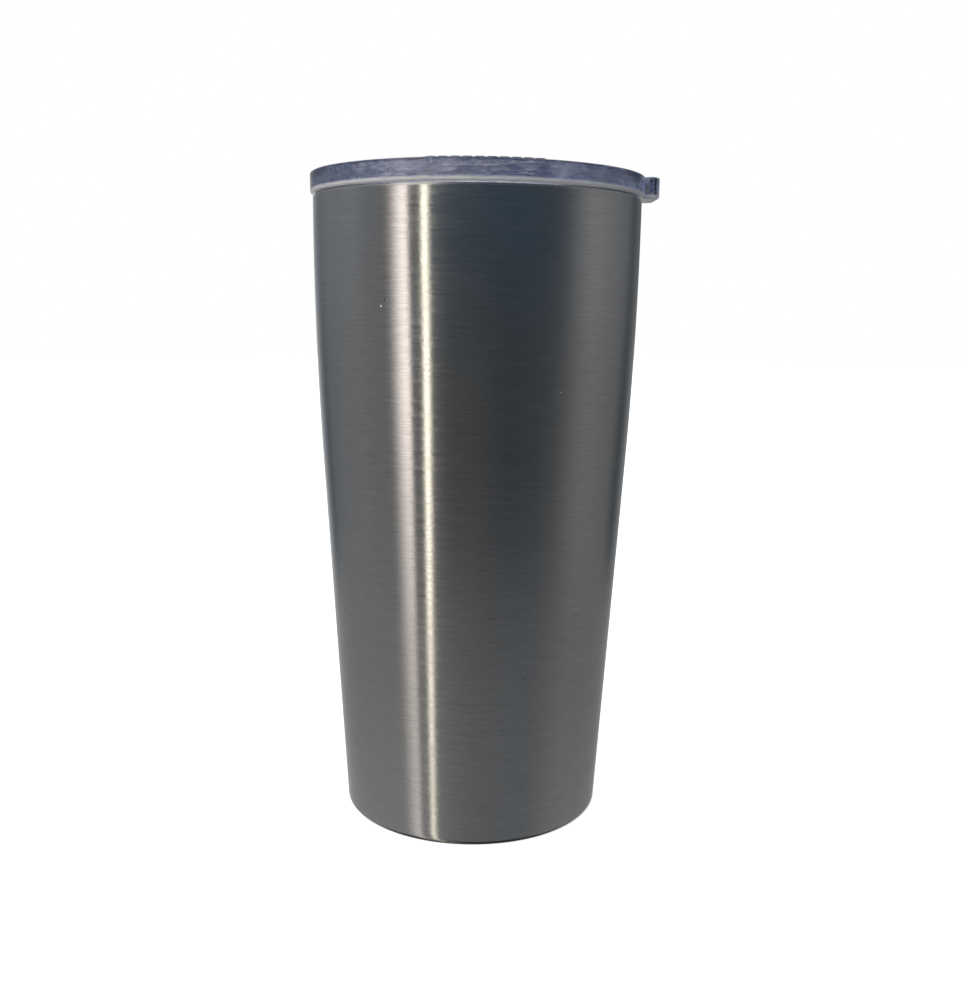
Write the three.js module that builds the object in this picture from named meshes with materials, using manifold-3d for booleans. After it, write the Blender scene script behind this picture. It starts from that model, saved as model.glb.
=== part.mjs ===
// Insulated tumbler: a double-walled, vacuum-insulated stainless-steel cup with a clear press-in lid.
// The lid has a lift tab, a silicone gasket and a slider that shuts its drink opening.
// Millimetres, +Z up. The origin is on the cup's axis, in the plane of the foot that it stands on.
// The lift tab points along +X and the drink opening is at -X. The slider is modelled open.
import * as THREE from "three";
import { mergeVertices } from "three/addons/utils/BufferGeometryUtils.js";
import Module from "manifold-3d";

const wasm = await Module();
wasm.setup();

// ---- Driving dimensions ----
const ROUND = 48; // segments in a full turn
const FIT = 0.3; // gap left between two pieces that touch or seal on the real object

const CUP_HEIGHT = 171; // foot to the top of the lip
const MOUTH_R = 44.5; // outside of the body at the lip
const FOOT_R = 36.2; // outside of the body just above the foot's corner
const FOOT_CORNER_R = 1.5;
const FOOT_INNER_R = 32.5; // inner edge of the foot's flat
const STRAIGHT_TOP_Z = 100; // the straight taper ends here
const COLLAR_Z = 168; // and has curved to upright here
const SHEET = 0.5; // steel sheet
const VACUUM_GAP = 4; // between the two walls

const LINER_FLOOR_Z = 13.5; // underside of the liner's floor
const LINER_CORNER_R = 8;
const LINER_NECK_Z = 156.5; // the liner starts to flare to the mouth here
const MOUTH_Z = 161.5; // and is upright from here to the lip

const FLANGE_R = 45.2; // the lid's rim
const RIM_LOW_R = 0.9; // its rounded lower edge
const RIM_TOP_R = 0.3; // and upper edge
const LID_SEAT = 0.2; // gap between the lip and the lid resting on it
const FLANGE_Z = CUP_HEIGHT + LID_SEAT; // underside of the rim
const FLANGE_TOP_Z = 176.6;
const FLANGE_INNER_R = 40.6;
const DECK_R = 39.6; // foot of the slope from the rim down to the deck
const DECK_Z = 172; // top of the deck
const DECK = 2; // its thickness
const PLUG_R = 41.8;
const PLUG_INNER_R = 39;
const PLUG_BOTTOM_Z = 163.2;
const PLUG_CHAMFER = { across: 0.5, up: 0.6 }; // leads the plug into the mouth
const GROOVE_R = 40.4; // bottom of the gasket's groove
const GROOVE_LOW_Z = 165;
const GROOVE_HIGH_Z = 168.8;
const GASKET_R = 42; // the gasket's outside between its ribs

const MARK = 0.25; // the tab and the rim's pads stand this far above the rim
const TAB = { root: 41.5, tip: 48.8, halfWidth: 7, chamfer: 1.6, bevel: 0.5 };
const OPENING = { x: -32, halfX: 4.5, halfY: 6.5, corner: 4 };
const VENT = { x: 28, r: 1.5 };
const RAIL = { from: -28.5, to: 18.2, inner: 9.6, outer: 11.4, lip: 8.4, lipZ: 174.3, top: 175.1 };
const RAIL_CHAMFER = 0.4;
const ROOT = 0.5; // how deep a raised detail is sunk into what it stands on, to join it
const PAST = 1; // a hole's cutter reaches this far past both faces
const STOP_FROM_X = 16.2; // face of the bar that ends the rails
const STOP_TOP_Z = 174.5;
const SLIDER = { from: -16.4, to: 15.6, half: 9.2, low: 172.5, ledge: 173.9, top: 175, corner: 4 };
const NECK = { half: 8, inset: 0.6, bevel: 0.4 }; // between the rails' lips
const GRIP = { x: 4, half: 6.5, top: 176.3, ribs: 5 };
const TRAVEL = 22; // the slider moves this far along -X to shut the opening
const SEAL = { halfX: 5.8, halfY: 8.2, corner: 5.5, low: 172.2, high: 173.1, bevel: 0.2 };
const PADS = { count: 10, pitchDeg: 3.8, middleDeg: -87.5, long: 2.3, wide: 1.5, r: 43.7 };

const FOIL = { low: 24, high: 150, off: 0.4, thickness: 0.2 }; // off is its gap to the liner
const VACUUM_BASE = { z: 4, seatZ: 6, rimZ: 9, slope: 2, corner: 0.6 };
const PORT = { r: 1, z: 5.2, flatR: 5, slopeR: 6.5 }; // the raised centre round the port
const BEAD = { r: 3.6, topR: 3, lowR: 2.6, height: 1.3, shoulder: 0.5, crown: 0.3 };
const BASE_DISC = { r: 34.3, ringFrom: 22, ringTo: 26, ringSlope: 0.8, ringHigh: 0.5 };
const GETTER = { x: 0, y: 18, r: 4, height: 2.5, bevel: 0.4 };
const STRAP = { width: 4, thickness: 0.4, foot: 3, clearance: 0.4 };

const DEGREE = Math.PI / 180;
const SAME = 1e-4; // vertices nearer than this are one

// ---- Materials ----
const material = (color, roughness, metalness, opacity = 1) =>
  new THREE.MeshStandardMaterial({
    color,
    roughness,
    metalness,
    opacity,
    transparent: opacity < 1,
  });
const brushedSteel = material(0x83868a, 0.3, 1);
const bareSteel = material(0xb4b6b8, 0.35, 1);
const copper = material(0xc07a55, 0.3, 1);
const clearPlastic = material(0xc6c8dc, 0.08, 0, 0.4);
const silicone = material(0xe4e5ea, 0.5, 0, 0.85);
const solderGlass = material(0x3c3a38, 0.4, 0);
const getterAlloy = material(0x55585c, 0.7, 0.6);

// ---- Solids ----
// A geometry's closed surface, with its shared vertices merged, as a manifold-3d solid.
function solidOf(geometry) {
  const bare = geometry.index ? geometry.toNonIndexed() : geometry.clone();
  const merged = mergeVertices(
    new THREE.BufferGeometry().setAttribute("position", bare.getAttribute("position")),
    SAME,
  );
  return new wasm.Manifold(
    new wasm.Mesh({
      numProp: 3,
      vertProperties: merged.attributes.position.array,
      triVerts: new Uint32Array(merged.index.array),
    }),
  );
}

function geometryOf(solid) {
  const mesh = solid.getMesh();
  return new THREE.BufferGeometry()
    .setAttribute("position", new THREE.BufferAttribute(mesh.vertProperties, 3))
    .setIndex(new THREE.BufferAttribute(mesh.triVerts, 1));
}

// A solid of revolution about Z. The profile's [r, z] points keep the material on their left.
function turned(profile) {
  const points = profile.map(([r, z]) => new THREE.Vector2(r, z));
  return new THREE.LatheGeometry(points, ROUND).rotateX(Math.PI / 2);
}

// The closed profile of a sheet whose right-hand face follows the path, from start to end.
function sheetProfile(path, thickness = SHEET) {
  const normals = path.slice(1).map(([r, z], i) => {
    const [dr, dz] = [r - path[i][0], z - path[i][1]];
    const length = Math.hypot(dr, dz);
    return [-dz / length, dr / length];
  });
  const inner = path.map(([r, z], i) => {
    const a = normals[Math.max(0, i - 1)];
    const b = normals[Math.min(normals.length - 1, i)];
    const share = thickness / (1 + a[0] * b[0] + a[1] * b[1]);
    return [r + share * (a[0] + b[0]), z + share * (a[1] + b[1])];
  });
  const loop = [...path, ...inner.reverse()];
  return path[0][0] === 0 ? loop : [...loop, path[0]];
}

// Points of an arc about [r, z], from one angle to another in degrees. Both ends are included.
function arc([r, z], radius, from, to, steps) {
  return Array.from({ length: steps + 1 }, (_, i) => {
    const angle = DEGREE * (from + ((to - from) * i) / steps);
    return [r + radius * Math.cos(angle), z + radius * Math.sin(angle)];
  });
}

// An outline in the XY plane, extruded up from z = low to z = high.
function upright(shape, low, high, bevel = 0) {
  const geometry = new THREE.ExtrudeGeometry(shape, {
    depth: high - low - 2 * bevel,
    bevelEnabled: bevel > 0,
    bevelThickness: bevel,
    bevelSize: bevel,
    bevelOffset: -bevel,
    bevelSegments: 1,
    curveSegments: 6,
  });
  return geometry.translate(0, 0, low + bevel);
}

// A rectangle with round corners, centred on x, y.
function roundedRectangle(x, y, halfX, halfY, corner) {
  const shape = new THREE.Shape();
  const corners = [
    [x + halfX - corner, y - halfY + corner, -90],
    [x + halfX - corner, y + halfY - corner, 0],
    [x - halfX + corner, y + halfY - corner, 90],
    [x - halfX + corner, y - halfY + corner, 180],
  ];
  for (const [cx, cy, from] of corners)
    shape.absarc(cx, cy, corner, from * DEGREE, (from + 90) * DEGREE, false);
  shape.closePath();
  return shape;
}

function box(x0, x1, y0, y1, z0, z1) {
  return new THREE.BoxGeometry(x1 - x0, y1 - y0, z1 - z0).translate(
    (x0 + x1) / 2,
    (y0 + y1) / 2,
    (z0 + z1) / 2,
  );
}

// ---- The cup ----
// The body's outside radius at a height: a straight taper that curves to upright at the collar.
const curve = COLLAR_Z - STRAIGHT_TOP_Z;
const taper = (MOUTH_R - FOOT_R) / (STRAIGHT_TOP_Z - FOOT_CORNER_R + curve / 2);
function bodyRadius(z) {
  const straight = FOOT_R + taper * (z - FOOT_CORNER_R);
  const past = Math.min(Math.max(z - STRAIGHT_TOP_Z, 0), curve);
  return z >= COLLAR_Z ? MOUTH_R : straight - (taper * past * past) / (2 * curve);
}

// Heights from one level to another, both included.
const levels = (from, to, steps) =>
  Array.from({ length: steps + 1 }, (_, i) => from + ((to - from) * i) / steps);

const linerRadius = (z) => bodyRadius(z) - SHEET - VACUUM_GAP;
const mouthOuterR = MOUTH_R - SHEET - FIT; // the liner's outside, just inside the shell

// The drawn outer wall, turned in at the foot and open at the top and bottom.
function outerShell() {
  return turned(
    sheetProfile([
      [FOOT_INNER_R, 0],
      ...arc([FOOT_R - FOOT_CORNER_R, FOOT_CORNER_R], FOOT_CORNER_R, -90, 0, 4),
      [bodyRadius(STRAIGHT_TOP_Z), STRAIGHT_TOP_Z],
      ...levels(STRAIGHT_TOP_Z, COLLAR_Z, 5)
        .slice(1)
        .map((z) => [bodyRadius(z), z]),
      [MOUTH_R, CUP_HEIGHT - SHEET - FIT],
    ]),
  );
}

// The drawn inner cup. Its mouth flares out to the shell and its lip turns over the shell's edge.
function innerLiner() {
  const cornerZ = LINER_FLOOR_Z + LINER_CORNER_R;
  const cornerR = linerRadius(cornerZ) - LINER_CORNER_R;
  const lipZ = CUP_HEIGHT - SHEET;
  return turned(
    sheetProfile([
      [0, LINER_FLOOR_Z],
      ...arc([cornerR, cornerZ], LINER_CORNER_R, -90, 0, 5),
      ...levels(STRAIGHT_TOP_Z, LINER_NECK_Z, 4).map((z) => [linerRadius(z), z]),
      [mouthOuterR, MOUTH_Z],
      [mouthOuterR, lipZ - FIT],
      [mouthOuterR + FIT, lipZ],
      [MOUTH_R, lipZ],
    ]),
  );
}

// Foil that reflects radiant heat, wrapped round the liner inside the vacuum.
function copperFoil() {
  const heights = [FOIL.low, ...levels(STRAIGHT_TOP_Z, FOIL.high, 3)];
  const outside = (z) => linerRadius(z) + FOIL.off + FOIL.thickness;
  return turned(
    sheetProfile(
      heights.map((z) => [outside(z), z]),
      FOIL.thickness,
    ),
  );
}

// The disc that closes the vacuum space, with a collar, and a raised centre around its port.
function vacuumBase() {
  const { z, seatZ, rimZ, slope, corner } = VACUUM_BASE;
  const rim = (height) => bodyRadius(height) - SHEET - FIT;
  return turned(
    sheetProfile([
      [PORT.r, PORT.z],
      [PORT.flatR, PORT.z],
      [PORT.slopeR, z],
      [rim(seatZ) - slope, z],
      [rim(seatZ) - corner, z + corner],
      [rim(seatZ), seatZ],
      [rim(rimZ), rimZ],
    ]),
  );
}

// The bead of solder glass that seals the port from below.
function portSeal() {
  const top = PORT.z - FIT;
  return turned([
    [0, top - BEAD.height],
    [BEAD.lowR, top - BEAD.height + BEAD.crown],
    [BEAD.r, top - BEAD.shoulder],
    [BEAD.topR, top],
    [0, top],
  ]);
}

// The visible bottom disc, resting inside the foot, with a shallow pressed ring.
function outerBase() {
  const { r, ringFrom, ringTo, ringSlope, ringHigh } = BASE_DISC;
  const z = SHEET + FIT;
  return turned(
    sheetProfile([
      [0, z],
      [ringFrom, z],
      [ringFrom + ringSlope, z + ringHigh],
      [ringTo - ringSlope, z + ringHigh],
      [ringTo, z],
      [r, z],
    ]),
  );
}

// The pressed pellet that soaks up stray gas, on top of the vacuum base.
const getterSeatZ = VACUUM_BASE.z + SHEET + FIT;
function getter() {
  const circle = new THREE.Shape().absarc(GETTER.x, GETTER.y, GETTER.r, 0, 2 * Math.PI, false);
  return upright(circle, getterSeatZ, getterSeatZ + GETTER.height, GETTER.bevel);
}

// The strap, welded down at both feet, that holds the pellet.
function getterStrap() {
  const { width, thickness, foot, clearance } = STRAP;
  const inside = GETTER.r + clearance;
  const under = GETTER.height + FIT;
  const right = [
    [inside, under],
    [inside, 0],
    [inside + foot, 0],
    [inside + foot, thickness],
    [inside + thickness, thickness],
    [inside + thickness, under + thickness],
  ];
  const left = right.map(([x, z]) => [-x, z]).reverse();
  const outline = [...left, ...right].map(([x, z]) => new THREE.Vector2(x, z));
  return new THREE.ExtrudeGeometry(new THREE.Shape(outline), { depth: width, bevelEnabled: false })
    .rotateX(Math.PI / 2)
    .translate(GETTER.x, GETTER.y + width / 2, getterSeatZ);
}

// ---- The lid ----
// The lift tab that stands out from the rim, with chamfered corners.
function liftTab() {
  const { root, tip, halfWidth, chamfer, bevel } = TAB;
  const right = [
    [root, -halfWidth],
    [tip - chamfer, -halfWidth],
    [tip, chamfer - halfWidth],
  ];
  const left = right.map(([x, y]) => [x, -y]).reverse();
  const outline = [...right, ...left].map(([x, y]) => new THREE.Vector2(x, y));
  return upright(new THREE.Shape(outline), FLANGE_Z, FLANGE_TOP_Z + MARK, bevel);
}

// The rail on one side, side = 1 or -1, whose lip holds the slider down.
function rail(side) {
  const section = [
    [RAIL.inner, DECK_Z - ROOT],
    [RAIL.outer, DECK_Z - ROOT],
    [RAIL.outer, RAIL.top - RAIL_CHAMFER],
    [RAIL.outer - RAIL_CHAMFER, RAIL.top],
    [RAIL.lip, RAIL.top],
    [RAIL.lip, RAIL.lipZ],
    [RAIL.inner, RAIL.lipZ],
  ];
  const shape = new THREE.Shape(section.map(([y, z]) => new THREE.Vector2(side * y, z)));
  // Extruding runs along Z, so the section's y and z are turned to lie across X.
  return new THREE.ExtrudeGeometry(shape, { depth: RAIL.to - RAIL.from, bevelEnabled: false })
    .rotateX(Math.PI / 2)
    .rotateZ(Math.PI / 2)
    .translate(RAIL.from, 0, 0);
}

// A low raised pad on top of the rim, at an angle about the axis.
function rimPad(angleDeg) {
  return box(
    PADS.r - PADS.wide / 2,
    PADS.r + PADS.wide / 2,
    -PADS.long / 2,
    PADS.long / 2,
    FLANGE_TOP_Z - ROOT,
    FLANGE_TOP_Z + MARK,
  ).rotateZ(angleDeg * DEGREE);
}

// The moulded lid: a thick rim that rests on the lip, a recessed deck and a plug with a groove.
function lidBody() {
  const under = DECK_Z - DECK;
  let lid = solidOf(
    turned([
      [0, under],
      [PLUG_INNER_R, under],
      [PLUG_INNER_R, PLUG_BOTTOM_Z],
      [PLUG_R - PLUG_CHAMFER.across, PLUG_BOTTOM_Z],
      [PLUG_R, PLUG_BOTTOM_Z + PLUG_CHAMFER.up],
      [PLUG_R, GROOVE_LOW_Z],
      [GROOVE_R, GROOVE_LOW_Z],
      [GROOVE_R, GROOVE_HIGH_Z],
      [PLUG_R, GROOVE_HIGH_Z],
      [PLUG_R, FLANGE_Z],
      ...arc([FLANGE_R - RIM_LOW_R, FLANGE_Z + RIM_LOW_R], RIM_LOW_R, -90, 0, 3),
      ...arc([FLANGE_R - RIM_TOP_R, FLANGE_TOP_Z - RIM_TOP_R], RIM_TOP_R, 0, 90, 2),
      [FLANGE_INNER_R, FLANGE_TOP_Z],
      [DECK_R, DECK_Z],
      [0, DECK_Z],
    ]),
  );
  const drink = roundedRectangle(OPENING.x, 0, OPENING.halfX, OPENING.halfY, OPENING.corner);
  const vent = new THREE.Shape().absarc(VENT.x, 0, VENT.r, 0, 2 * Math.PI, false);
  for (const hole of [drink, vent])
    lid = lid.subtract(solidOf(upright(hole, under - PAST, DECK_Z + PAST)));
  const stop = box(STOP_FROM_X, RAIL.to, -RAIL.inner, RAIL.inner, DECK_Z - ROOT, STOP_TOP_Z);
  const pads = Array.from({ length: PADS.count }, (_, i) =>
    rimPad(PADS.middleDeg + PADS.pitchDeg * (i - (PADS.count - 1) / 2)),
  );
  for (const piece of [liftTab(), rail(1), rail(-1), stop, ...pads]) lid = lid.add(solidOf(piece));
  return geometryOf(lid);
}

// The silicone ring in the plug's groove, with two ribs that seal in the mouth.
function lidGasket() {
  const [low, high] = [GROOVE_LOW_Z + FIT, GROOVE_HIGH_Z - FIT];
  const step = (high - low) / 5;
  const [seat, rib] = [GASKET_R, mouthOuterR - SHEET - FIT];
  const inner = GROOVE_R + FIT;
  return turned([
    [inner, low],
    [seat, low],
    [rib, low + step],
    [seat, low + 2 * step],
    [seat, low + 3 * step],
    [rib, low + 4 * step],
    [seat, high],
    [inner, high],
    [inner, low],
  ]);
}

// The slider: a foot that runs under the rails' lips, a neck between them and a ribbed thumb grip.
function slider() {
  const [middle, half] = [(SLIDER.from + SLIDER.to) / 2, (SLIDER.to - SLIDER.from) / 2];
  const foot = upright(
    roundedRectangle(middle, 0, half, SLIDER.half, SLIDER.corner),
    SLIDER.low,
    SLIDER.ledge,
  );
  const neck = upright(
    roundedRectangle(middle, 0, half - NECK.inset, NECK.half, SLIDER.corner - NECK.inset),
    SLIDER.low + ROOT,
    SLIDER.top,
    NECK.bevel,
  );
  const pitch = (2 * GRIP.half) / (2 * GRIP.ribs - 1);
  const ribs = Array.from({ length: GRIP.ribs }, (_, i) => {
    const x = GRIP.x - GRIP.half + 2 * i * pitch;
    return box(x, x + pitch, -GRIP.half, GRIP.half, SLIDER.top - ROOT, GRIP.top);
  });
  const [sealX, sealY] = [SEAL.halfX + FIT, SEAL.halfY + FIT];
  const pocket = roundedRectangle(OPENING.x + TRAVEL, 0, sealX, sealY, SEAL.corner + FIT);
  let made = solidOf(foot).add(solidOf(neck));
  for (const rib of ribs) made = made.add(solidOf(rib));
  return geometryOf(made.subtract(solidOf(upright(pocket, SLIDER.low - PAST, SEAL.high + FIT))));
}

// The silicone pad in the slider's underside that covers the drink opening.
function sliderSeal() {
  const outline = roundedRectangle(OPENING.x + TRAVEL, 0, SEAL.halfX, SEAL.halfY, SEAL.corner);
  return upright(outline, SEAL.low, SEAL.high, SEAL.bevel);
}

// ---- Assembly ----
const tumbler = new THREE.Group();
const cup = new THREE.Group();
const lid = new THREE.Group();
const closure = new THREE.Group();
tumbler.add(cup, lid);
lid.add(closure);

function place(group, name, geometry, look) {
  const mesh = new THREE.Mesh(geometry, look);
  mesh.name = name;
  group.add(mesh);
}

place(cup, "outer_shell", outerShell(), brushedSteel);
place(cup, "inner_liner", innerLiner(), bareSteel);
place(cup, "copper_foil", copperFoil(), copper);
place(cup, "vacuum_base", vacuumBase(), bareSteel);
place(cup, "port_seal", portSeal(), solderGlass);
place(cup, "getter_pellet", getter(), getterAlloy);
place(cup, "getter_strap", getterStrap(), bareSteel);
place(cup, "outer_base", outerBase(), brushedSteel);
place(lid, "lid_body", lidBody(), clearPlastic);
place(lid, "lid_gasket", lidGasket(), silicone);
place(closure, "slider", slider(), clearPlastic);
place(closure, "slider_seal", sliderSeal(), silicone);

export default tumbler;
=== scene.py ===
"""Insulated tumbler with a clear slider lid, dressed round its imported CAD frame.

Metres, +Z up, the cup's axis on Z. Profiles are written in millimetres and scaled once.
"""
import math

import bmesh
import bpy
from mathutils import Matrix, Vector


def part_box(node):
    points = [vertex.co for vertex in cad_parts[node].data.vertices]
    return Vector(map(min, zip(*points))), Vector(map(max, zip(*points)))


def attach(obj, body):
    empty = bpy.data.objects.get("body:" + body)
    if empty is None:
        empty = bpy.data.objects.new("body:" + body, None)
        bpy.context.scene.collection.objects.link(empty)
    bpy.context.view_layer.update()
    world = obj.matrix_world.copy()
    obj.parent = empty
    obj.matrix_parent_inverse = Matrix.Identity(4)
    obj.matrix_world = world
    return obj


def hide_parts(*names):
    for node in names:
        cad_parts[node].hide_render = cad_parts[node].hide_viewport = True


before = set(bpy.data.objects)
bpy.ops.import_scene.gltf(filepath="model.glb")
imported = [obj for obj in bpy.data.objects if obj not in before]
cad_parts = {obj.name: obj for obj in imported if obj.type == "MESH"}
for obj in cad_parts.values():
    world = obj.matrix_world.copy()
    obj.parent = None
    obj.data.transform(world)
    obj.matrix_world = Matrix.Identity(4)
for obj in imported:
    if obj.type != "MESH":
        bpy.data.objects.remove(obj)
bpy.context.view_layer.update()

MM = 0.001
AROUND = 256  # segments in a full turn
CREASE = 35  # degrees between faces, past which an edge looks sharp
SAME = 1e-6  # millimetres: values nearer than this are the same

# ---- Boxes of the CAD nodes, in millimetres ----
shell_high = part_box("outer_shell")[1] / MM
liner_low, liner_high = (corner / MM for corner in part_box("inner_liner"))
base_low, base_high = (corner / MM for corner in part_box("outer_base"))
lid_low, lid_high = (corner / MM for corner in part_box("lid_body"))
gasket_low, gasket_high = (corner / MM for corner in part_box("lid_gasket"))
slider_low, slider_high = (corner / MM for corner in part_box("slider"))
pad_low, pad_high = (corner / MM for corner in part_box("slider_seal"))

# ---- The cup's sizes, in millimetres ----
SHEET = 0.5
GAP = 0.3  # air between neighbours that are welded or pressed together
MOUTH_R = shell_high.x
LIP_Z = liner_high.z
FOOT_R = 36.2
FOOT_CORNER_R = 1.5
FOOT_LEAN = 0.09  # the taper takes the wall this much further in below the corner's top
FOOT_INNER_R = 32.6
STRAIGHT_TOP_Z = 100.0
COLLAR_Z = 168.0
WALLS = 5.0  # outside to inside: two sheets and the vacuum between them
WALL_START_Z = 3.0
WALL_STEPS, LINER_STEPS = 60, 30
SHELL_DROP = 0.62  # from the lip's top to the outer wall's edge
LINER_CORNER_R = 8.0
LINER_START = 2.0  # from the floor corner's top to the liner's wall
NECK_DROP = 14.5  # from the lip's top to where the liner begins to flare
MOUTH_DROP = 9.5  # and to where it is as wide as the mouth
FLARE_R = 4.0
LIP_THICK = 0.6
LIP_IN = 0.45  # the lip stands this far inside the outer wall's face

# ---- The lid's sizes, in millimetres ----
FLANGE_R = lid_high.y
FLANGE_Z = LIP_Z + 0.2
FLANGE_TOP_Z = LIP_Z + 5.6
RIM_IN_R = 40.6
DECK_R = 39.6
DECK_Z = LIP_Z + 1.0
DECK = 2.0
PLUG_R = 41.8
PLUG_IN_R = 39.0
GROOVE_R = 40.4
GASKET_SEAT_R = 42.0
GASKET_IN_R = 40.7
ROOT = 0.5  # how deep the parts on the deck are rooted in it
PAST = 1.0  # how far a cutter reaches past the sheet that it cuts
TAB_ROOT = 41.5
TAB_HALF, TAB_CHAMFER, TAB_BEVEL = 7.0, 1.6, 0.5
RAIL_IN, RAIL_OUT, RAIL_LIP = 9.6, 11.4, 8.4  # distances from the middle plane
RAIL_TOP, RAIL_LIP_UNDER = 3.1, 2.3  # heights above the deck
RAIL_START, RAIL_END = -28.5, 18.2
STOP_LONG, STOP_HALF, STOP_HIGH = 2.0, 9.8, 2.5
DRINK_START, DRINK_END, DRINK_HALF, DRINK_CORNER = -36.5, -27.5, 6.5, 4.0
VENT_X, VENT_R, VENT_SIDES = 28.0, 1.5, 32
DASHES, DASH_PITCH, DASH_MIDDLE = 10, 3.8, -87.5  # count, and degrees round the rim
DASH_R, DASH_LONG, DASH_WIDE = 43.7, 2.3, 1.5

# ---- The slider's sizes, in millimetres ----
SLIDER_CORNER, SLIDER_FOOT = 4.0, 1.4
NECK_INSET, NECK_HALF, NECK_CORNER = 0.6, 8.0, 3.4
NECK_START, NECK_END = 0.5, 2.5  # heights above the slider's underside
GRIP_X, GRIP_HALF, GRIP_RIBS, GRIP_START = 4.0, 6.5, 5, 2.0
SEAL_CORNER = 5.5


# ---- Mesh tools ----
def new_object(name, mesh):
    """Links a mesh into the scene as an object."""
    piece = bpy.data.objects.new(name, mesh)
    bpy.context.scene.collection.objects.link(piece)
    return piece


def smooth(piece):
    """Smooth shading, with sharp edges left crisp."""
    piece.data.shade_smooth()
    piece.data.set_sharp_from_angle(angle=math.radians(CREASE))


def levels(low, high, steps):
    """Evenly spaced values from low to high, both included."""
    return [low + (high - low) * k / steps for k in range(steps + 1)]


def rounded(corners, steps=4):
    """An outline whose (x, y, radius) corners become arcs. A radius of 0 leaves a corner sharp."""
    outline = []
    for i, (x, y, radius) in enumerate(corners):
        corner = Vector((x, y))
        if radius == 0:
            outline.append(corner)
            continue
        back = (Vector(corners[i - 1][:2]) - corner).normalized()
        on = (Vector(corners[(i + 1) % len(corners)][:2]) - corner).normalized()
        half = back.angle(on) / 2
        cut = radius / math.tan(half)
        centre = corner + (back + on).normalized() * radius / math.sin(half)
        start = corner + back * cut - centre
        end = corner + on * cut - centre
        turn = start.angle_signed(end)
        for share in levels(0, 1, steps):
            outline.append(centre + Matrix.Rotation(-turn * share, 2) @ start)
    return outline


def rounded_rectangle(x0, x1, half, corner, steps=8):
    """A rectangle from x0 to x1, half as wide on each side of the middle plane, with round corners."""
    sides = [(x0, -half, corner), (x1, -half, corner), (x1, half, corner), (x0, half, corner)]
    return rounded(sides, steps)


def finished(name, built):
    """Turns a bmesh with closed surfaces into an object whose faces point out."""
    bmesh.ops.recalc_face_normals(built, faces=built.faces)
    mesh = bpy.data.meshes.new(name)
    built.to_mesh(mesh)
    built.free()
    return new_object(name, mesh)


def turned(name, outline):
    """A solid of revolution about Z from a closed outline of (r, z) points in millimetres."""
    built = bmesh.new()
    rings = []
    for r, z in outline:
        on_axis = r < SAME
        angles = [2 * math.pi * k / AROUND for k in range(1 if on_axis else AROUND)]
        ring = [built.verts.new((r * MM * math.cos(a), r * MM * math.sin(a), z * MM)) for a in angles]
        rings.append(ring * (AROUND if on_axis else 1))
    for i, low in enumerate(rings):
        high = rings[(i + 1) % len(rings)]
        if low[0] == low[1] and high[0] == high[1]:
            continue
        for k in range(AROUND):
            loop = [low[k], low[(k + 1) % AROUND], high[(k + 1) % AROUND], high[k]]
            built.faces.new(list(dict.fromkeys(loop)))
    return finished(name, built)


def extruded(built, points, way):
    """Adds a closed solid to a bmesh: an outline of points in millimetres, swept along a vector."""
    ring = [built.verts.new([value * MM for value in point]) for point in points]
    grown = bmesh.ops.extrude_face_region(built, geom=[built.faces.new(ring)])
    moved = [v for v in grown["geom"] if isinstance(v, bmesh.types.BMVert)]
    bmesh.ops.translate(built, verts=moved, vec=[value * MM for value in way])


def prism(name, outline, low, high, edge=0.0, steps=3):
    """An outline in XY raised from low to high, in millimetres, with its top and bottom edges rounded."""
    built = bmesh.new()
    extruded(built, [(x, y, low) for x, y in outline], (0, 0, high - low))
    if edge:
        flat = [e for e in built.edges if abs(e.verts[0].co.z - e.verts[1].co.z) < SAME * MM]
        bmesh.ops.bevel(
            built, geom=flat, offset=edge * MM, segments=steps, profile=0.5, affect="EDGES"
        )
    return finished(name, built)


def combine(piece, other, operation):
    """Joins another solid to the piece, or cuts it away, and removes it."""
    boolean = piece.modifiers.new("boolean", "BOOLEAN")
    boolean.operation = operation
    boolean.solver = "EXACT"
    boolean.object = other
    graph = bpy.context.evaluated_depsgraph_get()
    graph.update()
    mesh = bpy.data.meshes.new_from_object(piece.evaluated_get(graph))
    piece.modifiers.clear()
    piece.data = mesh
    bpy.data.objects.remove(other)


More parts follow.
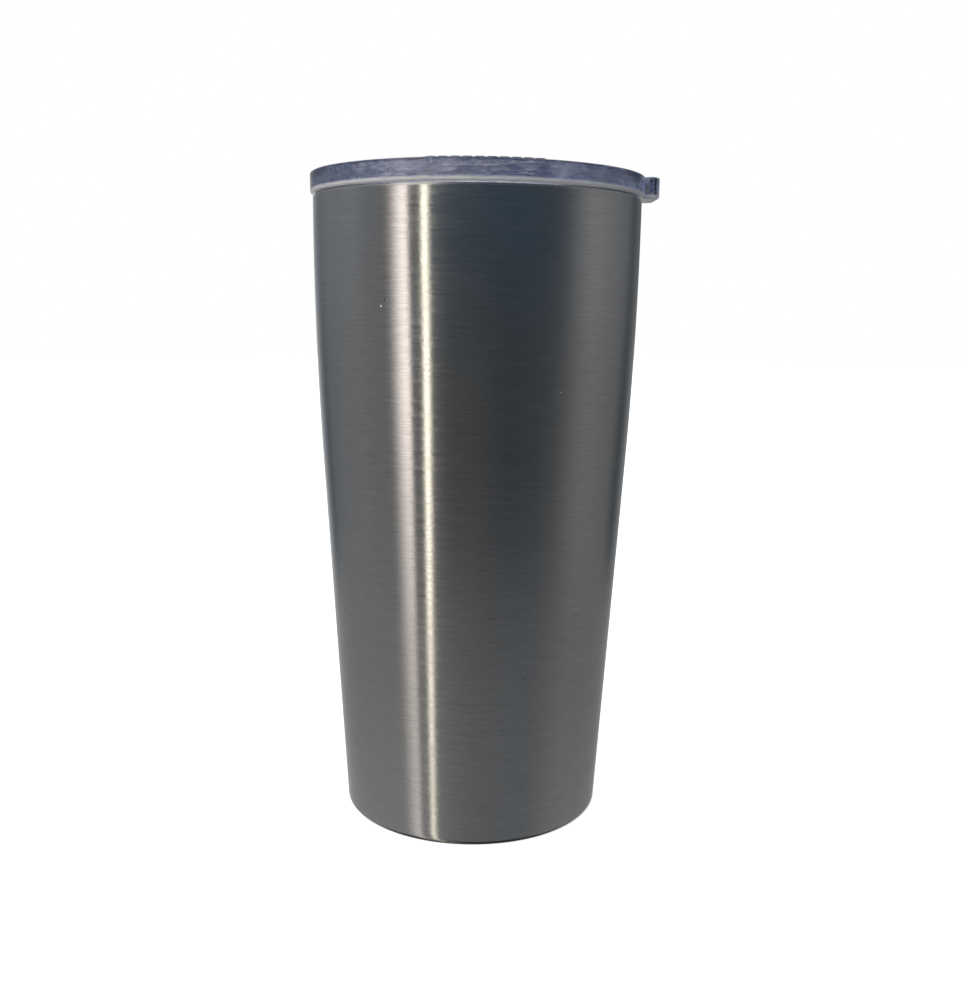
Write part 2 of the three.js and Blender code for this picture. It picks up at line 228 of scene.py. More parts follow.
# ---- Node tools ----
class Tree:
    """A node tree, with short calls for the nodes that the finishes and the studio share."""

    def __init__(self, tree):
        self.tree = tree

    def add(self, kind, inputs=(), **settings):
        """A node with these settings, whose inputs are values or other nodes' outputs."""
        node = self.tree.nodes.new(kind)
        for name, value in settings.items():
            setattr(node, name, value)
        for key, value in dict(inputs).items():
            if isinstance(value, bpy.types.NodeSocket):
                self.tree.links.new(value, node.inputs[key])
            else:
                node.inputs[key].default_value = value
        return node

    def math(self, operation, a, b=0.0):
        return self.add("ShaderNodeMath", {0: a, 1: b}, operation=operation).outputs[0]

    def split(self, vector):
        """A vector's x, y and z."""
        return self.add("ShaderNodeSeparateXYZ", {0: vector}).outputs

    def joined(self, x, y, z=0.0):
        """A vector from its x, y and z."""
        return self.add("ShaderNodeCombineXYZ", {0: x, 1: y, 2: z}).outputs[0]

    def length(self, vector):
        return self.add("ShaderNodeVectorMath", {0: vector}, operation="LENGTH").outputs["Value"]

    def scaled(self, vector, factor):
        return self.add("ShaderNodeVectorMath", {0: vector, 3: factor}, operation="SCALE").outputs[0]

    def plus(self, a, b):
        return self.add("ShaderNodeVectorMath", {0: a, 1: b}, operation="ADD").outputs[0]

    def ranged(self, value, from_low, from_high, to_low, to_high, kind):
        """Maps one range of values to another, and holds its ends."""
        inputs = {
            "Value": value,
            "From Min": from_low,
            "From Max": from_high,
            "To Min": to_low,
            "To Max": to_high,
        }
        return self.add("ShaderNodeMapRange", inputs, interpolation_type=kind).outputs["Result"]

    def step(self, value, low, high, at_low=0.0, at_high=1.0):
        """A smooth step between two values."""
        return self.ranged(value, low, high, at_low, at_high, "SMOOTHSTEP")

    def mix(self, share, low, high):
        """A colour between two, by a share from 0 to 1. Each is three numbers or a node's output."""
        inputs = {"Factor": share}
        for key, colour in {6: low, 7: high}.items():
            inputs[key] = (*colour, 1) if isinstance(colour, tuple) else colour
        return self.add("ShaderNodeMix", inputs, data_type="RGBA").outputs[2]


class Finish(Tree):
    """A material's node tree."""

    def __init__(self, name):
        self.material = bpy.data.materials.new(name)
        self.material.use_nodes = True
        super().__init__(self.material.node_tree)
        self.shader = next(n for n in self.tree.nodes if n.type == "BSDF_PRINCIPLED")
        self.place = self.add("ShaderNodeTexCoord").outputs["Object"]

    def noise(self, where, scale, detail=2.0, roughness=0.5):
        inputs = {"Vector": where, "Scale": scale, "Detail": detail, "Roughness": roughness}
        return self.add("ShaderNodeTexNoise", inputs).outputs["Fac"]

    def spread(self, value, low, high, from_low=0.3, from_high=0.7):
        """Maps a texture's usual span to a range of values."""
        return self.ranged(value, from_low, from_high, low, high, "LINEAR")

    def bump(self, height, strength, distance):
        inputs = {"Height": height, "Strength": strength, "Distance": distance}
        return self.add("ShaderNodeBump", inputs).outputs["Normal"]

    def set(self, **values):
        """Sets or links the shader's sockets. A name's underscores stand for spaces."""
        for name, value in values.items():
            socket = self.shader.inputs[name.replace("_", " ")]
            if isinstance(value, bpy.types.NodeSocket):
                self.tree.links.new(value, socket)
            else:
                socket.default_value = value


# ---- Brushed steel ----
# Brush lines as (thickness, length), in millimetres
FINE = (0.3, 6.0)
COARSE = (0.9, 15.0)
RAGGED = (0.4, 1.4)
# Wear, in millimetres: (degrees round from +X, height, length, width)
SPECKS = [
    (-121.8, 142.0, 0.7, 0.7),
    (-112.0, 60.0, 0.45, 0.3),
    (-61.0, 121.5, 0.5, 0.35),
    (35.0, 96.0, 0.6, 0.5),
    (128.0, 131.0, 0.6, 0.4),
]
NICKS = [
    (-120.4, 143.5, 0.35, 0.9),
    (-62.0, 138.0, 2.4, 0.18),
    (-78.0, 33.0, 1.3, 0.25),
    (-83.5, 64.0, 3.2, 0.18),
    (-70.0, 47.0, 1.8, 0.2),
    (72.0, 70.0, 3.0, 0.2),
    (160.0, 112.0, 2.2, 0.2),
]
MARK_DEPTH = 2.0  # half the depth of a speck's or nick's ellipsoid, so that it cuts the surface
SPECK_COLOUR = (0.62, 0.62, 0.6)
NICK_COLOUR = (0.13, 0.13, 0.13)
SPECK_ROUGH = 0.5
BRUSH_ALONG = 0.25  # turns the wide gloss across the brush lines


def brush_lines(n, line, length):
    """Noise drawn out round the axis: lines this thick and about this long, on walls and flat rings."""
    x, y, z = n.split(n.place)
    along = n.math("ADD", z, n.length(n.joined(x, y)))
    x = n.math("MULTIPLY", x, 1 / (length * MM))
    y = n.math("MULTIPLY", y, 1 / (length * MM))
    where = n.joined(x, y, n.math("MULTIPLY", along, 1 / (line * MM)))
    return n.noise(where, 1.0, 3.0, 0.6)


def marks(n, spots, softness=0.5):
    """A mask that is 1 inside small ellipses on the wall."""
    mask = None
    for degrees, height, length, width in spots:
        angle = math.radians(degrees)
        radius = body_radius(height) * MM
        inputs = {
            "Vector": n.place,
            "Location": (radius * math.cos(angle), radius * math.sin(angle), height * MM),
            "Rotation": (0, 0, angle),
            "Scale": (MARK_DEPTH * MM, length / 2 * MM, width / 2 * MM),
        }
        inside = n.add("ShaderNodeMapping", inputs, vector_type="TEXTURE").outputs[0]
        spot = n.spread(n.length(inside), 1.0, 0.0, softness, 1.0)
        mask = spot if mask is None else n.math("MAXIMUM", mask, spot)
    return mask


def brushed_steel(name, dark, light, roughness=0.14, anisotropy=0.7, worn=False):
    """Stainless steel with fine scratches round the axis. Worn steel has a few specks and nicks too."""
    n = Finish(name)
    rough = n.spread(brush_lines(n, *COARSE), roughness - 0.03, roughness + 0.04)
    haze = n.noise(n.place, 35.0, 3.0, 0.55)
    rough = n.math("ADD", rough, n.spread(haze, -0.01, 0.012))
    colour = n.mix(n.spread(brush_lines(n, *FINE), 1.0, 0.0), dark, light)
    metal = 1.0
    if worn:
        specks = marks(n, SPECKS)
        colour = n.mix(specks, colour, SPECK_COLOUR)
        colour = n.mix(marks(n, NICKS), colour, NICK_COLOUR)
        rough = n.math("ADD", rough, n.math("MULTIPLY", specks, SPECK_ROUGH))
        metal = n.math("SUBTRACT", 1.0, specks)
    n.set(
        Base_Color=colour,
        Metallic=metal,
        Roughness=rough,
        Anisotropic=anisotropy,
        Anisotropic_Rotation=BRUSH_ALONG,
        Tangent=n.add("ShaderNodeTangent", direction_type="RADIAL", axis="Z").outputs[0],
        Normal=n.bump(brush_lines(n, *RAGGED), 0.4, 0.00003),
    )
    return n.material


# ---- Clear plastic ----
CLEAR = 0.995  # share of light that passes the clear surface
HIGHLIGHT_BAND_PASS = 0.15  # and at the rim's lower edge, where a pale band is painted on as a highlight
# pale colour of the painted highlight band on the rim's lower edge
HIGHLIGHT_BAND_COLOUR = (0.97, 0.97, 0.99)
HIGHLIGHT_BAND_TOP, HIGHLIGHT_BAND_END = 0.6, 1.4  # heights above the rim's underside where the painted highlight band fades, in mm
HIGHLIGHT_BAND_WIDE = 1.5  # how far in from the rim's face the painted highlight band reaches, in mm
SMOKE_DARK, SMOKE_LIGHT = (0.5, 0.53, 0.7), (0.99, 0.99, 1.0)
FROST_COLOUR, FROST_ROUGH = (0.09, 0.1, 0.14), 0.5
FLOW = (0.5, 0.5, 1.6)  # the flow marks are drawn out sideways
GATE_X = -9.0  # where the plastic was let into the mould, in mm
GATE_NEAR, GATE_FAR = 10.0, 28.0  # distances between which the flow marks fade, in mm
FLOW_NEAR, FLOW_FAR = 2.2, 0.5  # and how strong they are there
PLASTIC_IOR = 1.54
TINT, TINT_DENSITY = (0.2, 0.29, 0.56, 1), 64.0


def painted_highlight_band(n, x, y, height):
    """The share of light that passes the surface: little at the outer rim's lower edge, where a painted
    highlight band lies, all elsewhere.
    """
    above = n.spread(height, HIGHLIGHT_BAND_PASS, CLEAR, (FLANGE_Z + HIGHLIGHT_BAND_TOP) * MM, (FLANGE_Z + HIGHLIGHT_BAND_END) * MM)
    below = n.math("LESS_THAN", height, (FLANGE_Z - 0.1) * MM)
    off_rim = n.math("LESS_THAN", n.length(n.joined(x, y)), (FLANGE_R - HIGHLIGHT_BAND_WIDE) * MM)
    return n.math("MAXIMUM", above, n.math("MAXIMUM", below, off_rim))


def flow_marks(n, stretched, x):
    """The height of ripples and facets that are strongest near the moulding gate."""
    ripples = n.noise(stretched, 560.0, 4.0, 0.65)
    facets = n.add("ShaderNodeTexVoronoi", {"Vector": stretched, "Scale": 1300.0}).outputs["Distance"]
    flow = n.math("ADD", ripples, n.math("MULTIPLY", facets, 0.3))
    from_gate = n.math("ABSOLUTE", n.math("SUBTRACT", x, GATE_X * MM))
    strength = n.spread(from_gate, FLOW_NEAR, FLOW_FAR, GATE_NEAR * MM, GATE_FAR * MM)
    return n.math("MULTIPLY", flow, strength)


def clear_plastic(name):
    """Moulded clear plastic. A lavender tint deepens with its thickness, raised marks are frosted, and a
    pale band along the outer rim's lower edge is a painted highlight.
    """
    n = Finish(name)
    x, y, height = n.split(n.place)
    stretched = n.add("ShaderNodeVectorMath", {0: n.place, 1: FLOW}, operation="MULTIPLY").outputs[0]
    raised = n.math("GREATER_THAN", height, (FLANGE_TOP_Z + 0.05) * MM)
    frosted = n.math("MULTIPLY", raised, n.math("LESS_THAN", x, TAB_ROOT * MM))
    # little light passes where the rim's lower edge carries the painted highlight band
    passed = painted_highlight_band(n, x, y, height)
    smoke = n.spread(n.noise(stretched, 420.0, 4.0, 0.65), 0.0, 1.0, 0.4, 0.57)
    colour = n.mix(smoke, SMOKE_DARK, SMOKE_LIGHT)
    # painted highlight: a pale colour where the rim's lower edge lets little light through
    colour = n.mix(n.spread(passed, 1.0, 0.0, HIGHLIGHT_BAND_PASS, CLEAR), colour, HIGHLIGHT_BAND_COLOUR)
    scuffs = n.spread(n.noise(n.place, 900.0, 4.0, 0.7), 0.01, 0.05)
    waves = n.noise(n.place, 55.0, 2.0, 0.45)
    n.set(
        Base_Color=n.mix(frosted, colour, FROST_COLOUR),
        Roughness=n.math("MAXIMUM", scuffs, n.math("MULTIPLY", frosted, FROST_ROUGH)),
        Transmission_Weight=passed,
        IOR=PLASTIC_IOR,
        Normal=n.bump(n.math("ADD", waves, flow_marks(n, stretched, x)), 0.3, 0.0006),
    )
    tint = n.add("ShaderNodeVolumeAbsorption", {"Color": TINT, "Density": TINT_DENSITY})
    output = next(node for node in n.tree.nodes if node.type == "OUTPUT_MATERIAL")
    n.tree.links.new(tint.outputs[0], output.inputs["Volume"])
    return n.material


# ---- Other finishes ----
def silicone(name):
    """Milky translucent silicone rubber."""
    n = Finish(name)
    cloud = n.noise(n.place, 220.0, 3.0, 0.6)
    grain = n.noise(n.place, 2600.0, 2.0, 0.5)
    n.set(
        Base_Color=n.mix(cloud, (0.78, 0.79, 0.82), (0.88, 0.885, 0.9)),
        Roughness=n.spread(grain, 0.38, 0.55),
        Transmission_Weight=0.45,
        IOR=1.41,
        Normal=n.bump(grain, 0.15, 0.00005),
    )
    return n.material


def plain(name, dark, light, metallic, rough, scale, bump=0.2):
    """A finish for small inner pieces: mottled colour and roughness with a fine grain."""
    n = Finish(name)
    grain = n.noise(n.place, scale, 4.0, 0.6)
    n.set(
        Base_Color=n.mix(n.spread(grain, 0.0, 1.0), dark, light),
        Metallic=metallic,
        Roughness=n.spread(grain, rough * 0.8, rough * 1.2),
        Normal=n.bump(grain, bump, 0.0001),
    )
    return n.material


# ---- The cup ----
def body_radius(z):
    """The body's outside radius: a straight taper that curves to upright at the collar."""
    curve = COLLAR_Z - STRAIGHT_TOP_Z
    taper = (MOUTH_R - FOOT_R) / (STRAIGHT_TOP_Z - FOOT_CORNER_R + curve / 2)
    past = min(max(z - STRAIGHT_TOP_Z, 0), curve)
    if z >= COLLAR_Z:
        return MOUTH_R
    return FOOT_R + taper * (z - FOOT_CORNER_R) - taper * past * past / (2 * curve)


def outer_wall():
    """The drawn outer wall, from its turned-in foot to the weld under the lip."""
    wall = levels(WALL_START_Z, LIP_Z - SHELL_DROP, WALL_STEPS)
    foot, edge = FOOT_R - FOOT_LEAN, 0.18
    outline = [
        (FOOT_INNER_R, 0.0, edge),
        (foot, 0.0, FOOT_CORNER_R),
        *[(body_radius(z), z, 0) for z in wall],
        *[(body_radius(z) - SHEET, z, 0) for z in reversed(wall)],
        (foot - SHEET, SHEET, FOOT_CORNER_R - SHEET),
        (FOOT_INNER_R, SHEET, edge),
    ]
    return turned("steel_outer_wall", rounded(outline, 6))


def inner_wall():
    """The drawn liner, whose mouth flares to the outer wall and whose lip turns over the wall's edge."""
    floor, neck, mouth = liner_low.z, LIP_Z - NECK_DROP, LIP_Z - MOUTH_DROP
    wall = levels(floor + LINER_CORNER_R + LINER_START, neck, LINER_STEPS)
    low_r = body_radius(floor) - WALLS + SHEET
    mouth_r = MOUTH_R - SHEET - GAP
    lip_r, lip_under = MOUTH_R - LIP_IN, LIP_Z - LIP_THICK
    outline = [
        (0, floor, 0),
        (low_r, floor, LINER_CORNER_R),
        *[(body_radius(z) - WALLS + SHEET, z, 0) for z in wall],
        (mouth_r, mouth, FLARE_R),
        (mouth_r, lip_under - 0.3, 0.1),
        (lip_r - 0.05, lip_under - 0.1, 0.1),
        (lip_r, lip_under, 0),
        (lip_r, LIP_Z, 0.15),
        (mouth_r - SHEET, LIP_Z, 0.45),
        (mouth_r - SHEET, mouth, FLARE_R),
        *[(body_radius(z) - WALLS, z, 0) for z in reversed(wall)],
        (low_r - SHEET, floor + SHEET, LINER_CORNER_R - SHEET),
        (0, floor + SHEET, 0),
    ]
    return turned("steel_liner", rounded(outline, 8))


def bottom_disc():
    """The visible bottom disc, with a pressed ring."""
    under, edge = base_low.z, base_high.x
    over, rise = under + SHEET, 0.5
    foot_in, top_in, top_out, foot_out = 22.0, 22.8, 25.2, 26.0
    bend = 0.2  # the upper side's slopes are steeper by this much
    outline = [
        (0, under, 0),
        (foot_in, under, 1.0),
        (top_in, under + rise, 0.5),
        (top_out, under + rise, 0.5),
        (foot_out, under, 1.0),
        (edge, under, 0.15),
        (edge, over, 0.15),
        (foot_out - bend, over, 0.5),
        (top_out, over + rise, 0.5),
        (top_in, over + rise, 0.5),
        (foot_in + bend, over, 0.5),
        (0, over, 0),
    ]
    return turned("steel_bottom_disc", rounded(outline, 4))


# ---- The lid ----
def lid_ring():
    """The moulded lid's round body: rim, recessed deck and plug with its groove."""
    under, bottom = DECK_Z - DECK, lid_low.z
    groove_low, groove_high = gasket_low.z - GAP, gasket_high.z + GAP
    outline = [
        (0, under, 0),
        (PLUG_IN_R, under, 0.8),
        (PLUG_IN_R, bottom, 0.25),
        (PLUG_R, bottom, 0.6),
        (PLUG_R, groove_low, 0.15),
        (GROOVE_R, groove_low, 0.2),
        (GROOVE_R, groove_high, 0.2),
        (PLUG_R, groove_high, 0.15),
        (PLUG_R, FLANGE_Z, 0.4),
        (FLANGE_R, FLANGE_Z, 0.9),
        (FLANGE_R, FLANGE_TOP_Z, 0.3),
        (RIM_IN_R, FLANGE_TOP_Z, 0.3),
        (DECK_R, DECK_Z, 0.8),
        (0, DECK_Z, 0),
    ]
    return turned("lid_clear", rounded(outline, 6))


def lift_tab():
    """The tab that stands out from the rim, with its outer corners cut off."""
    tip = lid_high.x
    outline = [(TAB_ROOT, -TAB_HALF), (tip - TAB_CHAMFER, -TAB_HALF), (tip, TAB_CHAMFER - TAB_HALF)]
    outline += [(x, -y) for x, y in reversed(outline)]
    return prism("tab", outline, FLANGE_Z, lid_high.z, TAB_BEVEL, 2)


def rail(side):
    """One rail, whose lip holds the slider down."""
    foot, under, top = DECK_Z - ROOT, DECK_Z + RAIL_LIP_UNDER, DECK_Z + RAIL_TOP
    section = [
        (RAIL_IN, foot, 0),
        (RAIL_OUT, foot, 0),
        (RAIL_OUT, top, 0.4),
        (RAIL_LIP, top, 0.2),
        (RAIL_LIP, under, 0.2),
        (RAIL_IN, under, 0.1),
    ]
    built = bmesh.new()
    points = [(RAIL_START, side * y, z) for y, z in rounded(section)]
    extruded(built, points, (RAIL_END - RAIL_START, 0, 0))
    return finished("rail", built)


def rim_dashes():
    """Low raised dashes on the front of the rim's top."""
    for k in range(DASHES):
        outline = rounded_rectangle(
            DASH_R - DASH_WIDE / 2, DASH_R + DASH_WIDE / 2, DASH_LONG / 2, 0.3, 3
        )
        dash = prism("dash", outline, FLANGE_TOP_Z - 0.3, lid_high.z, 0.1, 2)
        degrees = DASH_MIDDLE + DASH_PITCH * (k - (DASHES - 1) / 2)
        dash.data.transform(Matrix.Rotation(math.radians(degrees), 4, "Z"))
        yield dash


def lid():
    """The whole clear lid as one closed solid."""
    piece = lid_ring()
    low, high = DECK_Z - DECK - PAST, DECK_Z + PAST
    drink = rounded_rectangle(DRINK_START, DRINK_END, DRINK_HALF, DRINK_CORNER)
    turns = levels(0, 2 * math.pi * (VENT_SIDES - 1) / VENT_SIDES, VENT_SIDES - 1)
    vent = [(VENT_X + VENT_R * math.cos(a), VENT_R * math.sin(a)) for a in turns]
    combine(piece, prism("drink", drink, low, high), "DIFFERENCE")
    combine(piece, prism("vent", vent, low, high), "DIFFERENCE")
    stop = rounded_rectangle(RAIL_END - STOP_LONG, RAIL_END, STOP_HALF, 0.3, 3)
    for part in [
        lift_tab(),
        rail(1),
        rail(-1),
        prism("stop", stop, DECK_Z - ROOT, DECK_Z + STOP_HIGH, 0.2),
        *rim_dashes(),
    ]:
        combine(piece, part, "UNION")
    return piece


def gasket():
    """The silicone ring in the plug's groove, with two sealing ribs."""
    low, high, rib = gasket_low.z, gasket_high.z, gasket_high.x
    step = (high - low) / 5
    outline = [
        (GASKET_IN_R, low, 0.2),
        (GASKET_SEAT_R, low, 0.15),
        (rib, low + step, 0.25),
        (GASKET_SEAT_R, low + 2 * step, 0.15),
        (GASKET_SEAT_R, low + 3 * step, 0.15),
        (rib, low + 4 * step, 0.25),
        (GASKET_SEAT_R, high, 0.15),
        (GASKET_IN_R, high, 0.2),
    ]
    return turned("gasket_ring", rounded(outline, 4))


# ---- The slider ----
def thumb_slider():
    """The slider: a foot under the rails' lips, a neck between them and a ribbed thumb grip."""
    start, end, half, low = slider_low.x, slider_high.x, slider_high.y, slider_low.z
    foot = rounded_rectangle(start, end, half, SLIDER_CORNER)
    piece = prism("thumb_slider", foot, low, low + SLIDER_FOOT, 0.25)
    neck = rounded_rectangle(start + NECK_INSET, end - NECK_INSET, NECK_HALF, NECK_CORNER)
    combine(piece, prism("neck", neck, low + NECK_START, low + NECK_END, 0.35), "UNION")
    pitch = 2 * GRIP_HALF / (2 * GRIP_RIBS - 1)
    for k in range(GRIP_RIBS):
        near = GRIP_X - GRIP_HALF + 2 * k * pitch
        rib = rounded_rectangle(near, near + pitch, GRIP_HALF, 0.6, 4)
        combine(piece, prism("rib", rib, low + GRIP_START, slider_high.z, 0.3), "UNION")
    pocket = rounded_rectangle(pad_low.x - GAP, pad_high.x + GAP, pad_high.y + GAP, SEAL_CORNER + GAP)
    combine(piece, prism("pocket", pocket, low - PAST, pad_high.z + GAP), "DIFFERENCE")
    return piece


def slider_pad():
    """The silicone pad in the slider's pocket."""
    outline = rounded_rectangle(pad_low.x, pad_high.x, pad_high.y, SEAL_CORNER)
    return prism("slider_seal_pad", outline, pad_low.z, pad_high.z, 0.25)


# ---- Studio ----
# What the steel mirrors, as (degrees from the camera's side, grey, warmth): above the horizon,
HIGH = [
    (-180, 0.5, 0.0),
    (-171, 0.66, 0.0),
    (-158, 0.34, -0.04),
    (-143, 0.19, -0.10),
    (-130, 0.26, -0.08),
    (-95, 0.36, -0.03),
    (-80, 0.25, -0.05),
    (-60, 0.24, 0.0),
    (-42, 0.18, 0.0),
    (-27, 0.17, -0.1),
    (-18, 0.09, -0.3),
    (18, 0.085, -0.38),
    (45, 0.087, -0.33),
    (60, 0.10, -0.2),
    (72, 0.24, -0.06),
    (86, 0.39, 0.0),
    (105, 0.28, -0.02),
    (128, 0.22, -0.07),
    (139, 0.08, -0.14),
    (149, 0.16, -0.06),
    (164, 0.13, 0.0),
    (173, 0.18, 0.0),
    (180, 0.46, 0.0),
]
# level with it,
LEVEL = [
    (-180, 0.6, 0.0),
    (-171, 0.76, 0.0),
    (-156, 0.44, -0.05),
    (-141, 0.08, -0.2),
    (-130, 0.23, -0.08),
    (-95, 0.29, 0.0),
    (-80, 0.25, 0.0),
    (-60, 0.24, 0.0),
    (-42, 0.18, 0.0),
    (-27, 0.18, 0.0),
    (-20, 0.10, -0.05),
    (0, 0.10, 0.0),
    (20, 0.066, -0.12),
    (45, 0.085, -0.12),
    (60, 0.11, -0.04),
    (72, 0.20, 0.0),
    (86, 0.29, 0.01),
    (105, 0.24, 0.01),
    (122, 0.21, 0.0),
    (136, 0.055, -0.2),
    (148, 0.19, -0.08),
    (159, 0.25, 0.0),
    (170, 0.3, 0.0),
    (180, 0.6, 0.0),
]
# and below it, where a pale table lies
TABLE = [
    (-180, 0.70, 0.0),
    (-150, 0.43, 0.0),
    (-120, 0.38, 0.01),
    (-60, 0.36, 0.02),
    (-30, 0.31, 0.03),
    (-14, 0.25, 0.01),
    (10, 0.215, -0.02),
    (45, 0.205, -0.06),
    (62, 0.225, -0.01),
    (85, 0.305, 0.02),
    (125, 0.315, 0.01),
    (148, 0.33, 0.0),
    (162, 0.36, 0.0),
    (180, 0.70, 0.0),
]
# Elevations are in degrees. A fade is (where it starts and ends, what it is there), or goes from 0 to 1.
HORIZON = (-7.0, 4.0)  # where level changes to high
TABLE_EDGE, TABLE_RISE = -20.3, 3.2  # the table's far edge at the sides, and its rise to the back
TABLE_FADE = 5.0
TABLE_SHADE = (-32.0, -21.0, 1.0, 0.78)  # the table is a little dimmer further off,
UNDER = (-54.0, -40.0, 0.2, 1.0)  # and dark right under the cup
# (feet and shoulders, strength, share left at its foot, elevations of the fade, tint)
STRIPS = [
    ((-67.5, -48.7, -48.0, -44.2), 1.9, 0.31, (-27.0, -6.0), (1.12, 0.98, 0.88)),
    ((-37.9, -35.2, -33.8, -30.2), 3.0, 0.5, (-31.0, -14.0), (1.1, 1.0, 0.8)),
]
STRIP_POWER = 2.0  # how steeply a strip's left side rises
BOW_LOW = (-26.0, -10.0, 0.7, 0.0)  # the strips' bottoms stand a little to the left,
BOW_HIGH = (-6.0, 5.0, 0.0, 1.6)  # and so do their tops
DOME_COLOUR, DOME_RISE = (0.27, 0.29, 0.33), (7.0, 18.0)
DOME_SIDES = (-0.6, 0.6, 1.4, 0.4)  # the dome is brighter on the left
CEILING = (22.0, 50.0, 0.0, 1.15)
LAMP_AT, LAMP_UP = -35.0, 48.0  # degrees from the camera's side, and elevation
LAMP_WIDE, LAMP_SOFT, LAMP_STRENGTH = 6.0, 3.0, 14.0
NEUTRAL = (1, 1, 1)
WHITE = (*NEUTRAL, 1)
FLOOR_R = 3.0
FLOOR_COLOUR, FLOOR_GLOW = (0.45, 0.45, 0.45, 1), 0.8


def ramp(sky, degrees, stops):
    """A colour by direction, from stops of (degrees, grey, warmth)."""
    share = sky.math("ADD", sky.math("DIVIDE", degrees, 360.0), 0.5)
    node = sky.add("ShaderNodeValToRGB", {0: share})
    node.color_ramp.interpolation = "B_SPLINE"
    elements = node.color_ramp.elements
    for k, (angle, grey, warmth) in enumerate(stops):
        place = angle / 360 + 0.5
        if k < 2:
            stop = elements[k]
            stop.position = place
        else:
            stop = elements.new(place)
        stop.color = (grey * (1 + warmth), grey, grey * (1 - warmth), 1)
    return node.outputs["Color"]


def room(sky, way, degrees, rise):
    """The walls and the dome above them, and the table that hides their foot."""
    x, y, _ = sky.split(way)
    light = sky.mix(sky.step(rise, *HORIZON), ramp(sky, degrees, LEVEL), ramp(sky, degrees, HIGH))
    dome = sky.scaled(DOME_COLOUR, sky.step(x, *DOME_SIDES))
    light = sky.mix(sky.step(rise, *DOME_RISE), light, dome)
    dusk = sky.math("MULTIPLY", sky.step(rise, *TABLE_SHADE), sky.step(rise, *UNDER))
    table = sky.scaled(ramp(sky, degrees, TABLE), dusk)
    edge = sky.math("ADD", sky.math("MULTIPLY", y, TABLE_RISE), TABLE_EDGE)
    return sky.mix(sky.step(sky.math("SUBTRACT", rise, edge), 0.0, TABLE_FADE), table, light)


def strips(sky, degrees, rise):
    """The light of each of the two bright upright strips on the left."""
    bow = sky.math("ADD", sky.step(rise, *BOW_LOW), sky.step(rise, *BOW_HIGH))
    across = sky.math("ADD", degrees, bow)
    for (foot, shoulder, next_shoulder, next_foot), strength, least, fade, tint in STRIPS:
        left = sky.math("POWER", sky.step(across, foot, shoulder), STRIP_POWER)
        bar = sky.math("MULTIPLY", left, sky.step(across, next_shoulder, next_foot, 1.0, 0.0))
        fading = sky.step(rise, *fade, least, 1.0)
        yield sky.scaled(tint, sky.math("MULTIPLY", sky.math("MULTIPLY", bar, strength), fading))


def lamp(sky, way):
    """A small round lamp, high on the left."""
    across, up = math.radians(LAMP_AT), math.radians(LAMP_UP)
    spot = (math.sin(across) * math.cos(up), -math.cos(across) * math.cos(up), math.sin(up))
    near = sky.add("ShaderNodeVectorMath", {0: way, 1: spot}, operation="DOT_PRODUCT").outputs["Value"]
    off = sky.math("MULTIPLY", sky.math("ARCCOSINE", sky.math("MINIMUM", near, 1.0)), 180 / math.pi)
    return sky.scaled(NEUTRAL, sky.step(off, LAMP_WIDE, LAMP_WIDE + LAMP_SOFT, LAMP_STRENGTH, 0.0))


def studio_world():
    """A quiet room with a pale table, two bright strips, a ceiling and a lamp, on a white backdrop."""
    world = bpy.data.worlds.new("studio")
    bpy.context.scene.world = world
    world.use_nodes = True
    world.node_tree.nodes.clear()
    sky = Tree(world.node_tree)
    way = sky.add("ShaderNodeTexCoord").outputs["Generated"]
    x, y, z = sky.split(way)
    azimuth = sky.math("ARCTAN2", x, sky.math("MULTIPLY", y, -1.0))
    degrees = sky.math("MULTIPLY", azimuth, 180 / math.pi)
    rise = sky.math("MULTIPLY", sky.math("ARCSINE", z), 180 / math.pi)
    light = room(sky, way, degrees, rise)
    for strip in strips(sky, degrees, rise):
        light = sky.plus(light, strip)
    light = sky.plus(light, sky.scaled(NEUTRAL, sky.step(rise, *CEILING)))
    light = sky.plus(light, lamp(sky, way))
    seen = sky.add("ShaderNodeLightPath").outputs["Is Camera Ray"]
    lit = sky.add("ShaderNodeBackground", {"Color": light}).outputs[0]
    backdrop = sky.add("ShaderNodeBackground", {"Color": WHITE}).outputs[0]
    shown = sky.add("ShaderNodeMixShader", {0: seen, 1: lit, 2: backdrop}).outputs[0]
    sky.add("ShaderNodeOutputWorld", {"Surface": shown})


def floor():
    """A plain pale floor. The steel's reflections come from the studio, not from it."""
    built = bmesh.new()
    bmesh.ops.create_circle(built, cap_ends=True, segments=96, radius=FLOOR_R)
    ground = finished("studio_floor", built)
    material = bpy.data.materials.new("floor")
    material.use_nodes = True
    shader = next(n for n in material.node_tree.nodes if n.type == "BSDF_PRINCIPLED")
    shader.inputs["Base Color"].default_value = FLOOR_COLOUR
    shader.inputs["Roughness"].default_value = 1.0
    shader.inputs["Specular IOR Level"].default_value = 0.0
    shader.inputs["Emission Color"].default_value = WHITE
    shader.inputs["Emission Strength"].default_value = FLOOR_GLOW
    ground.data.materials.append(material)
    ground.visible_glossy = False
    ground.visible_transmission = False
    ground.visible_diffuse = False
    ground.visible_shadow = False


# ---- Camera ----
CAMERA_BACK, CAMERA_HEIGHT = 0.3158, 0.1419  # metres from the cup's axis, and above the floor
CAMERA_PITCH, CAMERA_ROLL, CAMERA_YAW = 9.73, 0.72, -0.51  # degrees
LENS, SENSOR = 40.37, 36.0


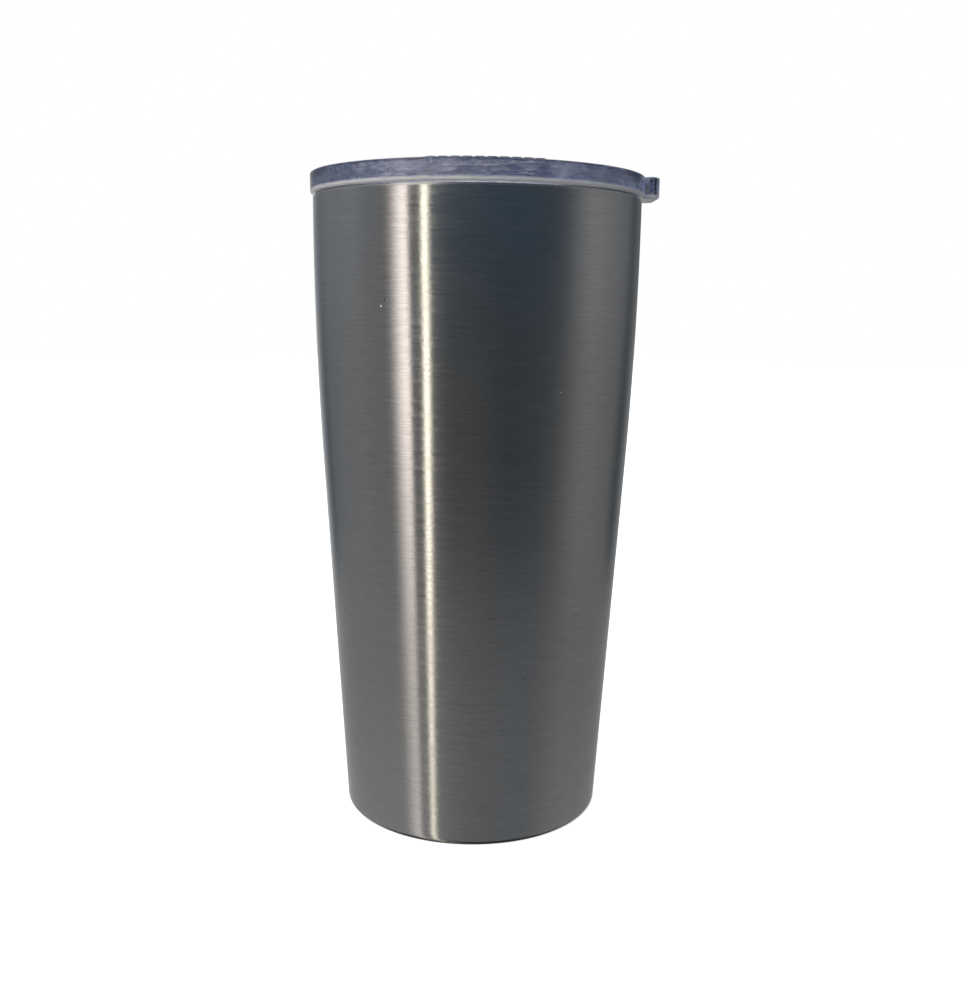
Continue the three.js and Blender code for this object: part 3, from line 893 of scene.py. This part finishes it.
def camera():
    """The camera: in front of the cup and above its middle, tipped down and very slightly rolled."""
    pitch, roll, yaw = (math.radians(a) for a in (CAMERA_PITCH, CAMERA_ROLL, CAMERA_YAW))
    right = Vector((math.cos(yaw), math.sin(yaw), 0))
    ahead = Vector((-math.sin(yaw), math.cos(yaw), 0))
    forward = math.cos(pitch) * ahead - math.sin(pitch) * Vector((0, 0, 1))
    up = math.sin(pitch) * ahead + math.cos(pitch) * Vector((0, 0, 1))
    side = math.cos(roll) * right + math.sin(roll) * up
    top = -math.sin(roll) * right + math.cos(roll) * up
    eye = bpy.data.objects.new("camera", bpy.data.cameras.new("camera"))
    bpy.context.scene.collection.objects.link(eye)
    eye.matrix_world = Matrix((side, top, -forward)).transposed().to_4x4()
    eye.location = (0, -CAMERA_BACK, CAMERA_HEIGHT)
    eye.data.lens = LENS
    eye.data.sensor_width = SENSOR
    eye.data.clip_start = 0.01
    bpy.context.scene.camera = eye


# ---- Assembly ----
def add_piece(piece, body, node, material):
    """Gives a finished piece its material and its body, and hides the CAD node that it stands for."""
    piece.data.materials.clear()
    piece.data.materials.append(material)
    smooth(piece)
    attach(piece, body)
    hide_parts(node)


def dress(node, material):
    """A CAD node that stays gets a better material."""
    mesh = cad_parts[node].data
    mesh.materials.clear()
    mesh.materials.append(material)


camera()
studio_world()
floor()
bpy.context.scene.view_settings.view_transform = "Standard"
bpy.context.scene.cycles.max_bounces = 24
bpy.context.scene.cycles.glossy_bounces = 20
bpy.context.scene.cycles.transmission_bounces = 20

wall_steel = brushed_steel("brushed_steel_outside", (0.40, 0.405, 0.41), (0.48, 0.485, 0.49), worn=True)
liner_steel = brushed_steel("brushed_steel_inside", (0.52, 0.52, 0.52), (0.6, 0.6, 0.595), 0.28, 0.5)
clear = clear_plastic("clear_lavender_plastic")
milky = silicone("milky_silicone")

add_piece(outer_wall(), "cup", "outer_shell", wall_steel)
add_piece(inner_wall(), "cup", "inner_liner", liner_steel)
add_piece(bottom_disc(), "cup", "outer_base", wall_steel)
add_piece(lid(), "lid", "lid_body", clear)
add_piece(gasket(), "lid", "lid_gasket", milky)
add_piece(thumb_slider(), "slider", "slider", clear)
add_piece(slider_pad(), "slider", "slider_seal", milky)

dress("copper_foil", plain("copper_foil", (0.62, 0.3, 0.18), (0.8, 0.47, 0.32), 1.0, 0.3, 90.0, 0.5))
dress("vacuum_base", liner_steel)
dress("getter_strap", liner_steel)
dress("port_seal", plain("solder_glass", (0.03, 0.028, 0.025), (0.08, 0.07, 0.06), 0.0, 0.3, 900.0))
dress("getter_pellet", plain("getter_alloy", (0.12, 0.125, 0.13), (0.22, 0.225, 0.23), 0.5, 0.75, 2600.0))
